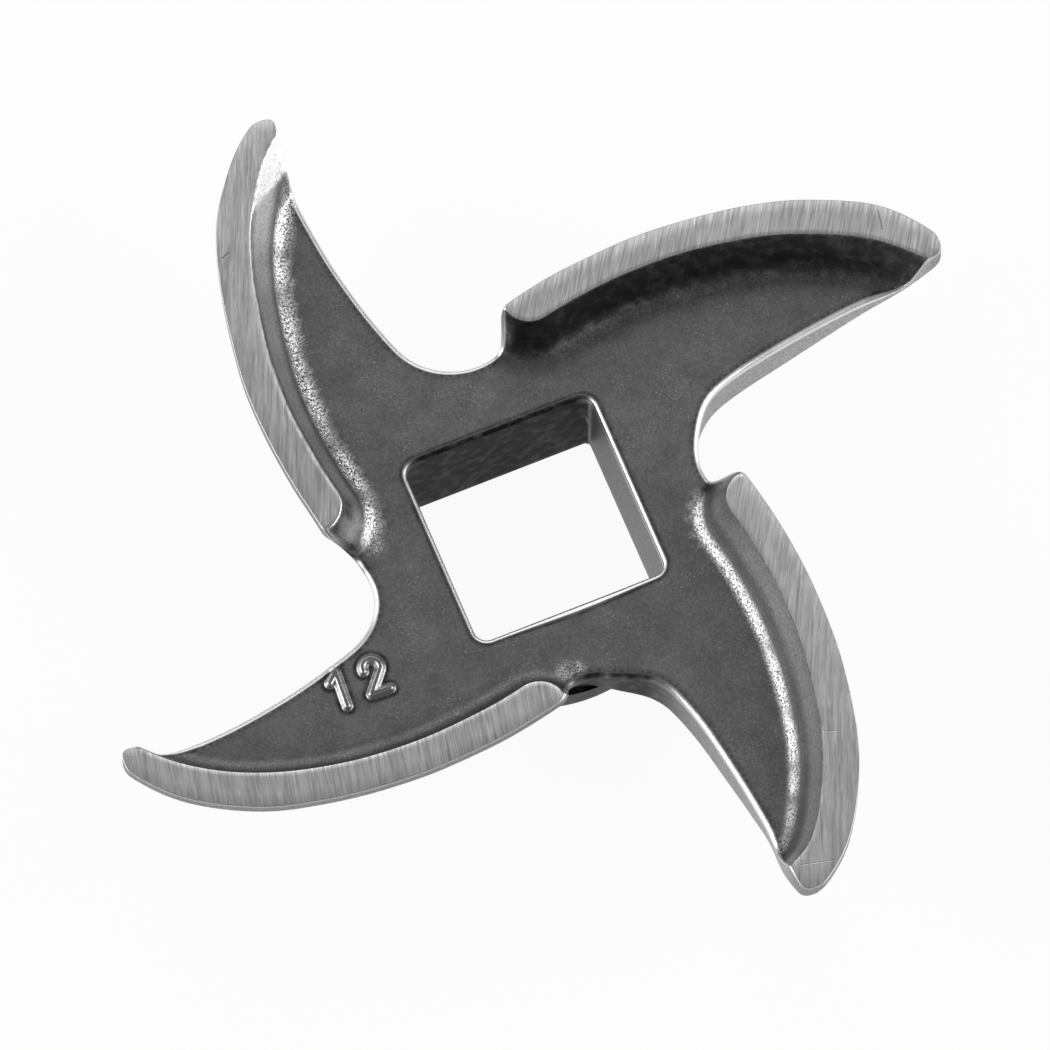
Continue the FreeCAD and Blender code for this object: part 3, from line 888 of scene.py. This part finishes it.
def knife_mesh():
    """The mesh of the knife, closed, with its finish in attributes and two material slots."""
    skin = knife_skin()
    plan = np.concatenate(skin.points)
    height = np.concatenate(skin.heights)
    mesh = bpy.data.meshes.new("knife_skin")
    verts = np.stack([plan.real, plan.imag, height], 1) * MM
    mesh.from_pydata(verts.tolist(), [], [tuple(int(i) for i in f) for f in skin.faces])
    past = past_border(plan)
    arm = arm_of(plan)
    finish = {name: np.concatenate(values) for name, values in skin.finish.items()}
    # The burr along the land, with a painted highlight that is strongest on the fourth and second
    # arm
    finish["crest"] = bump_at(past, -0.05, 0.09) * BURR_AND_HIGHLIGHT_SHARE[arm]
    finish["shine"] = LAND_SHINE[arm]
    # Painted glints along the blasted foot of the flank, strongest on the arms whose flanks face
    # the side lamps, with spots of painted glints and spots without
    drawn = unspread(plan, past)
    foot = rise(drawn, FOOT_FROM, 0.2) * fall(drawn, FOOT_TO[arm], 0.3)
    foot = foot * FOOT_GLINT[arm] * rise(along_arm(plan), ROOT_END, 0.05)
    foot = foot * rise(past, facet_width(plan), 0.2) * (1 - spots_at(plan, NO_GLINT_SPOTS))
    on_top = height > top_height(plan, past) - 0.1
    finish["foot"] = np.maximum(foot, spots_at(plan, GLINT_SPOTS)) * on_top
    for name, values in finish.items():
        mesh.attributes.new(name, "FLOAT", "POINT").data.foreach_set(
            "value", values.astype(np.float32))
    across, along = grinding(plan)
    lines = mesh.attributes.new("grind", "FLOAT_VECTOR", "POINT")
    lines.data.foreach_set("vector", np.stack([across, along, 0 * along], 1).astype(
        np.float32).ravel())
    mesh.polygons.foreach_set("material_index", np.array(skin.ground, np.int32))
    bm = bmesh.new()
    bm.from_mesh(mesh)
    bmesh.ops.remove_doubles(bm, verts=bm.verts, dist=WELD * MM)
    bmesh.ops.dissolve_degenerate(bm, edges=bm.edges, dist=SHORTEST * MM)
    bmesh.ops.holes_fill(bm, edges=[e for e in bm.edges if e.is_boundary], sides=12)
    bmesh.ops.recalc_face_normals(bm, faces=bm.faces)
    bm.to_mesh(mesh)
    bm.free()
    mesh.shade_smooth()
    mesh.set_sharp_from_angle(angle=math.radians(SHARP))
    return mesh


class Graph:
    """A node tree whose nodes are added with their inputs."""

    def __init__(self, tree):
        self.tree = tree

    def node(self, kind, inputs=None, **settings):
        made = self.tree.nodes.new("ShaderNode" + kind)
        for name, value in settings.items():
            setattr(made, name, value)
        for key, value in (inputs or {}).items():
            if isinstance(value, bpy.types.NodeSocket):
                self.tree.links.new(value, made.inputs[key])
            else:
                made.inputs[key].default_value = value
        return made

    def attribute(self, name, output="Fac"):
        return self.node("Attribute", attribute_name=name).outputs[output]

    def math(self, operation, a, b, clamp=False):
        return self.node("Math", {0: a, 1: b}, operation=operation, use_clamp=clamp).outputs[0]

    def times(self, a, b):
        return self.math("MULTIPLY", a, b)

    def noise(self, place, scale, detail=2.0, roughness=0.5):
        return self.node("TexNoise", {"Vector": place, "Scale": scale, "Detail": detail,
                                      "Roughness": roughness}).outputs[0]

    def span(self, value, low, high, to_low=0.0, to_high=1.0):
        """A value between two limits, spread over another span and held within it."""
        return self.node("MapRange", {0: value, 1: low, 2: high, 3: to_low, 4: to_high}).outputs[0]

    def mix(self, share, a, b):
        return self.node("Mix", {0: share, 2: a, 3: b}).outputs[0]

    def vector(self, operation, a, b, output=0):
        return self.node("VectorMath", {0: a, 1: b}, operation=operation).outputs[output]

    def scaled(self, vector, factors):
        return self.vector("MULTIPLY", vector, factors)

    def grey(self, value):
        return self.node("CombineColor", {0: value, 1: value, 2: value}).outputs[0]


def new_group(name, inputs, outputs):
    """A node group and its graph, with the sockets of its two ends."""
    tree = bpy.data.node_groups.new(name, "ShaderNodeTree")
    for socket, kind in inputs:
        tree.interface.new_socket(socket, in_out="INPUT", socket_type="NodeSocket" + kind)
    for socket in outputs:
        tree.interface.new_socket(socket, in_out="OUTPUT", socket_type="NodeSocketFloat")
    graph = Graph(tree)
    return graph, tree.nodes.new("NodeGroupInput").outputs, tree.nodes.new("NodeGroupOutput").inputs


def steel_grain():
    """Patches, fine grain and pits, for every finish of the steel."""
    graph, given, result = new_group("steel_grain", [("Position", "Vector")],
                                     ["Patches", "Grain", "Pits"])
    place = given["Position"]
    patches = graph.noise(place, 0.55, 4.0, 0.6)
    fine = graph.noise(place, 5.5, 3.0, 0.7)
    pits = graph.node("TexVoronoi", {"Vector": place, "Scale": 1.6}).outputs[0]
    thin = graph.noise(place, 1.1, 1.0)
    limit = graph.span(thin, 0.52, 0.75, 0.0, 0.11)
    links = graph.tree.links
    links.new(graph.span(patches, 0.3, 0.7), result["Patches"])
    links.new(graph.span(fine, 0.28, 0.72), result["Grain"])
    links.new(graph.math("LESS_THAN", pits, limit), result["Pits"])
    return graph.tree


def scratch_mark():
    """A mask for one straight scratch between two places."""
    graph, given, result = new_group(
        "scratch_mark", [("Position", "Vector"), ("Start", "Vector"), ("Run", "Vector"),
                         ("Width", "Float")], ["Mask"])
    from_start = graph.vector("SUBTRACT", given["Position"], given["Start"])
    along = graph.vector("DOT_PRODUCT", from_start, given["Run"], "Value")
    length = graph.vector("DOT_PRODUCT", given["Run"], given["Run"], "Value")
    share = graph.math("DIVIDE", along, length, clamp=True)
    foot = graph.node("VectorMath", {0: given["Run"], "Scale": share}, operation="SCALE").outputs[0]
    gap = graph.vector("DISTANCE", from_start, foot, "Value")
    ratio = graph.math("DIVIDE", gap, given["Width"])
    graph.tree.links.new(graph.span(ratio, 0.4, 1.0, 1.0, 0.0), result["Mask"])
    return graph.tree


def new_object(name, data):
    made = bpy.data.objects.new(name, data)
    bpy.context.scene.collection.objects.link(made)
    return made


def start_material(name):
    """A metal whose place in millimetres and grain are ready for use."""
    material = bpy.data.materials.new(name)
    material.use_nodes = True
    graph = Graph(material.node_tree)
    shader = material.node_tree.nodes["Principled BSDF"]
    shader.inputs["Metallic"].default_value = 1
    place = graph.node("TexCoord").outputs["Object"]
    place = graph.scaled(place, (1 / MM, 1 / MM, 1 / MM))
    grain = graph.node("Group", node_tree=grain_group)
    graph.tree.links.new(place, grain.inputs["Position"])
    return material, graph, shader, place, grain.outputs


def finish_material(graph, shader, tone, rough, height, depth):
    """Connects the grey tone, the roughness and the fine relief, with its depth in millimetres."""
    bump = graph.node("Bump", {"Height": height, "Distance": depth * MM, "Strength": 1.0})
    links = graph.tree.links
    links.new(graph.grey(tone), shader.inputs["Base Color"])
    links.new(rough, shader.inputs["Roughness"])
    links.new(bump.outputs[0], shader.inputs["Normal"])


# How far each kind of mark, painted shade among them, darkens the skin, and the depth of the fine
# relief
SHADE_AND_LINE_TONE = 0.13
PIT_TONE = 0.45
CAST_RELIEF = 0.06
GROUND_RELIEF = 0.007
SCRATCH_TONE = 0.5
# Brightness of the burr along the land, with a painted highlight where the edge of a land faces a
# side lamp
BURR_AND_HIGHLIGHT_STEEL = 0.85


def cast_steel():
    """Dark satin skin of the casting, bright where edges are worn, with painted glints on the
    blasted foot of the flanks, painted highlights and painted shade.
    """
    material, graph, shader, place, grain = start_material("cast_steel")
    rim, bare_and_highlight, soot, foot = map(graph.attribute, ("rim", "bare_and_highlight", "soot", "foot"))
    # the painted glints of the foot have gaps, and the bright metal and the painted highlights are
    # speckled
    gaps = graph.span(graph.noise(place, 0.42, 1.0), 0.3, 0.45, 0.35, 1.0)
    foot = graph.times(foot, gaps)
    speckle = graph.math("SUBTRACT", grain["Grain"], 0.5)
    speckle = graph.times(speckle, graph.span(bare_and_highlight, 0.0, 0.6, 0.1, 0.8))
    # worn: bright metal, with painted highlights on the flanks that face the side lamps, on the
    # right wall of the hole and on a crest
    worn = graph.math("ADD", bare_and_highlight, speckle, clamp=True)
    # the dark skin has patches, grain and clusters of light flecks
    dark = graph.span(grain["Patches"], 0.0, 1.0, DARK_STEEL * 0.86, DARK_STEEL * 1.16)
    dark = graph.times(dark, graph.span(grain["Grain"], 0.0, 1.0, 0.82, 1.18))
    flecks = graph.span(graph.noise(place, 8.0, 1.0), 0.6, 0.72)
    flecks = graph.times(flecks, graph.span(graph.noise(place, 0.5, 1.0), 0.45, 0.65))
    dark = graph.math("ADD", dark, graph.times(flecks, 0.14))
    tone = graph.mix(worn, dark, BRIGHT_STEEL)
    tone = graph.mix(rim, tone, RIM_STEEL)
    # Painted glints: on the foot the tone goes over to a bright speckle
    glint = graph.span(graph.noise(place, 8.0, 1.0), 0.35, 0.57, 0.1, 1.0)
    tone = graph.mix(foot, tone, glint)
    # painted shade and dark lines, in patches, and pits lie over all of it
    patchy_shade_and_lines = graph.times(graph.span(graph.noise(place, 1.4, 2.0), 0.3, 0.55, 0.5, 1.0), soot)
    tone = graph.times(tone, graph.span(patchy_shade_and_lines, 0.0, 1.0, 1.0, SHADE_AND_LINE_TONE))
    tone = graph.times(tone, graph.span(grain["Pits"], 0.0, 1.0, 1.0, PIT_TONE))
    rough = graph.mix(graph.math("MAXIMUM", worn, rim), 0.47, 0.3)
    rough = graph.math("ADD", rough, graph.times(grain["Patches"], 0.06))
    rough = graph.mix(foot, rough, 0.36)
    sparkle = graph.times(graph.noise(place, 6.5, 1.0, 0.4), foot)
    height = graph.math("ADD", graph.times(grain["Grain"], 0.1), sparkle)
    finish_material(graph, shader, tone, rough, height, CAST_RELIEF)
    return material


# Scratches across the ground lands: start, run and half width, in millimetres
SCRATCHES = (((8.63, -19.66, LAND), (2.58, -1.07, 0), 0.035),
             ((5.87, -27.79, LAND), (2.14, -0.53, 0), 0.035),
             ((12.9, -18.7, LAND), (0.12, -0.3, 0), 0.09),
             ((26.5, 8.2, LAND), (0.25, 1.3, 0), 0.06),
             ((-11.7, 21.9, LAND), (0.5, 0.2, 0), 0.07))


def ground_steel():
    """The ground lands, with the lines of the grinding wheel and a few later scratches."""
    material, graph, shader, place, grain = start_material("ground_steel")
    # lines of the wheel: broad, narrow and deep ones, with bright glints between them
    lines = graph.attribute("grind", "Vector")
    broad = graph.noise(graph.scaled(lines, (3.6, 0.2, 1)), 1.0, 1.0)
    narrow = graph.noise(graph.scaled(lines, (8.0, 0.4, 1)), 1.0, 2.0, 0.7)
    deep = graph.noise(graph.scaled(lines, (6.3, 0.22, 5)), 1.0, 0.0)
    mixed = graph.math("ADD", graph.times(broad, 0.3), graph.times(narrow, 0.7))
    mixed = graph.span(mixed, 0.38, 0.62)
    tone = graph.span(mixed, 0.0, 1.0, GROUND_STEEL * 0.7, GROUND_STEEL * 1.32)
    glints = graph.noise(graph.scaled(lines, (9.0, 0.5, 1)), 1.0, 1.0)
    tone = graph.math("ADD", tone, graph.span(glints, 0.62, 0.74, 0.0, 0.3))
    tone = graph.times(tone, graph.attribute("shine"))
    tone = graph.times(tone, graph.span(deep, 0.68, 0.8, 1.0, 0.7))
    tone = graph.times(tone, graph.span(grain["Patches"], 0.0, 1.0, 0.94, 1.05))
    # The burr along the land, partly a painted highlight
    crest = graph.times(graph.attribute("crest"),
                       graph.span(graph.noise(place, 3.0, 2.0), 0.4, 0.6))
    tone = graph.mix(graph.times(crest, 0.7), tone, BURR_AND_HIGHLIGHT_STEEL)
    marks = 0.0
    for start, run, width in SCRATCHES:
        mark = graph.node("Group", node_tree=scratch_group)
        graph.tree.links.new(place, mark.inputs["Position"])
        for name, value in (("Start", start), ("Run", run), ("Width", width)):
            mark.inputs[name].default_value = value
        marks = graph.math("MAXIMUM", marks, mark.outputs[0])
    tone = graph.times(tone, graph.span(marks, 0.0, 1.0, 1.0, SCRATCH_TONE))
    rough = graph.span(narrow, 0.3, 0.7, 0.4, 0.3)
    height = graph.math("SUBTRACT", graph.times(narrow, 0.5), graph.times(marks, 0.8))
    height = graph.math("SUBTRACT", height, graph.times(graph.span(deep, 0.68, 0.8), 0.3))
    finish_material(graph, shader, tone, rough, height, GROUND_RELIEF)
    return material


grain_group = steel_grain()
scratch_group = scratch_mark()
body = new_object("knife_body", knife_mesh())
body.data.materials.append(cast_steel())
body.data.materials.append(ground_steel())
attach(body, "root")
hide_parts("knife")

# Studio: tilt of the camera, its distance and field of view, and where it aims beside the hub
TILT = math.radians(20.0)
DISTANCE = 860 * MM
FIELD = 64.02 * MM
SENSOR = 36
AIM_LEFT = 0.58 * MM
AIM_DOWN = 1.5 * MM
# Grey of the world and of the paper, and the glow of the paper to the camera and in the steel
WORLD_GREY = 0.17
PAPER_GREY = 0.86
CAMERA_GLOW = 0.94
MIRROR_GLOW = 0.35
# Half the side of the paper, in metres, and how far it lies below the knife
PAPER_HALF = 2
PAPER_DROP = 0.02 * MM
right = Vector((math.cos(ROLL), -math.sin(ROLL), 0))
ahead = Vector((math.sin(ROLL), math.cos(ROLL), 0))
back = Vector((0, 0, math.cos(TILT))) - ahead * math.sin(TILT)
up = ahead * math.cos(TILT) + Vector((0, 0, math.sin(TILT)))
camera = bpy.data.cameras.new("camera")
camera.sensor_width = SENSOR
camera.lens = SENSOR * DISTANCE / FIELD
camera.clip_start, camera.clip_end = 0.01, 10
camera_object = new_object("camera", camera)
aim = Vector((0, 0, LAND * MM)) - right * AIM_LEFT - up * AIM_DOWN
camera_object.matrix_world = Matrix.Translation(aim + back * DISTANCE) @ Matrix(
    (right, up, back)).transposed().to_4x4()
bpy.context.scene.camera = camera_object
bpy.context.scene.view_settings.view_transform = "Standard"


def lamp(name, direction, distance, size, power):
    """A soft box that looks at the knife."""
    light = bpy.data.lights.new(name, "AREA")
    light.shape = "RECTANGLE"
    light.size, light.size_y = size
    light.energy = power
    box = new_object(name, light)
    box.location = direction.normalized() * distance
    box.rotation_mode = "QUATERNION"
    box.rotation_quaternion = direction.to_track_quat("Z", "Y")


high = Vector((0, 0, 1))
lamp("soft_box_right", right + high * 0.5, 0.5, (0.5, 0.4), 1.95)
lamp("soft_box_left", -right + high * 0.5, 0.5, (0.5, 0.4), 1.95)
lamp("soft_box_far", ahead + high * 0.9, 0.6, (0.5, 0.45), 0.9)

world = bpy.data.worlds.new("studio")
bpy.context.scene.world = world
world.use_nodes = True
world.node_tree.nodes["Background"].inputs["Color"].default_value = (WORLD_GREY,) * 3 + (1,)

floor_mesh = bpy.data.meshes.new("floor")
floor_mesh.from_pydata([(x * PAPER_HALF, y * PAPER_HALF, 0) for x, y in
                        ((-1, -1), (1, -1), (1, 1), (-1, 1))], [], [(0, 1, 2, 3)])
floor = new_object("floor", floor_mesh)
floor.location.z = -PAPER_DROP
paper = bpy.data.materials.new("white_paper")
paper.use_nodes = True
graph = Graph(paper.node_tree)
diffuse = paper.node_tree.nodes["Principled BSDF"]
diffuse.inputs["Base Color"].default_value = (PAPER_GREY,) * 3 + (1,)
diffuse.inputs["Roughness"].default_value = 1
diffuse.inputs["Specular IOR Level"].default_value = 0
glow = graph.node("Emission", {"Strength": 1.0})
rays = graph.node("LightPath").outputs
seen = graph.times(rays["Is Camera Ray"], CAMERA_GLOW)
mirrored = graph.math("MAXIMUM", rays["Is Glossy Ray"], rays["Is Transmission Ray"])
seen = graph.math("ADD", seen, graph.times(mirrored, MIRROR_GLOW))
mix = graph.node("MixShader", {0: seen, 1: diffuse.outputs[0], 2: glow.outputs[0]})
graph.tree.links.new(mix.outputs[0], paper.node_tree.nodes["Material Output"].inputs["Surface"])
floor_mesh.materials.append(paper)
